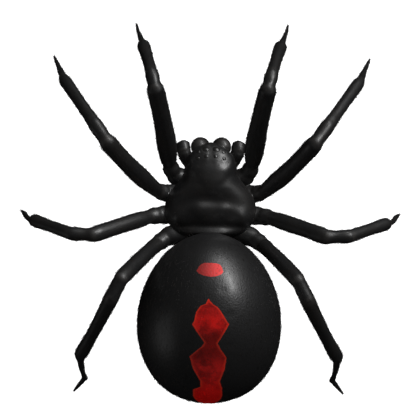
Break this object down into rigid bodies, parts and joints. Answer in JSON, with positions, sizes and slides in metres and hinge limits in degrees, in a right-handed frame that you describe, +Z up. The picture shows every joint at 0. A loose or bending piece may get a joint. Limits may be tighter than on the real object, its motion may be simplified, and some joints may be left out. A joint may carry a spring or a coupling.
{
  "type": "black widow spider",
  "caption": "Life-size still model of an adult female black widow spider standing on its feet, glossy black with red marks along the abdomen.",
  "frame": {"origin": "on the floor under the middle of the space the animal takes up", "axes": "+Z up, -Y towards the head, +X towards the animal's left side"},
  "size_m": [0.0192, 0.0188, 0.0088],
  "materials": {
    "body_shell": "satin",
    "abdomen_skin": "satin black with red marks",
    "jaw_shell": "gloss",
    "leg_shell": "satin",
    "eye_lens": "gloss",
    "hairs": "satin",
    "claws": "gloss"
  },
  "bodies": {
    "root": {"cephalothorax": "body_shell", "pedicel": "body_shell", "abdomen": "abdomen_skin", "spinnerets": "abdomen_skin", "chelicera_left": "jaw_shell", "chelicera_right": "jaw_shell", "pedipalp_left": "leg_shell", "pedipalp_right": "leg_shell", "eye_anterior_median_left": "eye_lens", "eye_anterior_median_right": "eye_lens", "eye_anterior_lateral_left": "eye_lens", "eye_anterior_lateral_right": "eye_lens", "eye_posterior_median_left": "eye_lens", "eye_posterior_median_right": "eye_lens", "eye_posterior_lateral_left": "eye_lens", "eye_posterior_lateral_right": "eye_lens", "leg1_left_coxa_trochanter": "leg_shell", "leg1_left_femur": "leg_shell", "leg1_left_patella_tibia": "leg_shell", "leg1_left_metatarsus_tarsus": "leg_shell", "leg1_right_coxa_trochanter": "leg_shell", "leg1_right_femur": "leg_shell", "leg1_right_patella_tibia": "leg_shell", "leg1_right_metatarsus_tarsus": "leg_shell", "leg2_left_coxa_trochanter": "leg_shell", "leg2_left_femur": "leg_shell", "leg2_left_patella_tibia": "leg_shell", "leg2_left_metatarsus_tarsus": "leg_shell", "leg2_right_coxa_trochanter": "leg_shell", "leg2_right_femur": "leg_shell", "leg2_right_patella_tibia": "leg_shell", "leg2_right_metatarsus_tarsus": "leg_shell", "leg3_left_coxa_trochanter": "leg_shell", "leg3_left_femur": "leg_shell", "leg3_left_patella_tibia": "leg_shell", "leg3_left_metatarsus_tarsus": "leg_shell", "leg3_right_coxa_trochanter": "leg_shell", "leg3_right_femur": "leg_shell", "leg3_right_patella_tibia": "leg_shell", "leg3_right_metatarsus_tarsus": "leg_shell", "leg4_left_coxa_trochanter": "leg_shell", "leg4_left_femur": "leg_shell", "leg4_left_patella_tibia": "leg_shell", "leg4_left_metatarsus_tarsus": "leg_shell", "leg4_right_coxa_trochanter": "leg_shell", "leg4_right_femur": "leg_shell", "leg4_right_patella_tibia": "leg_shell", "leg4_right_metatarsus_tarsus": "leg_shell"}
  },
  "joints": []
}
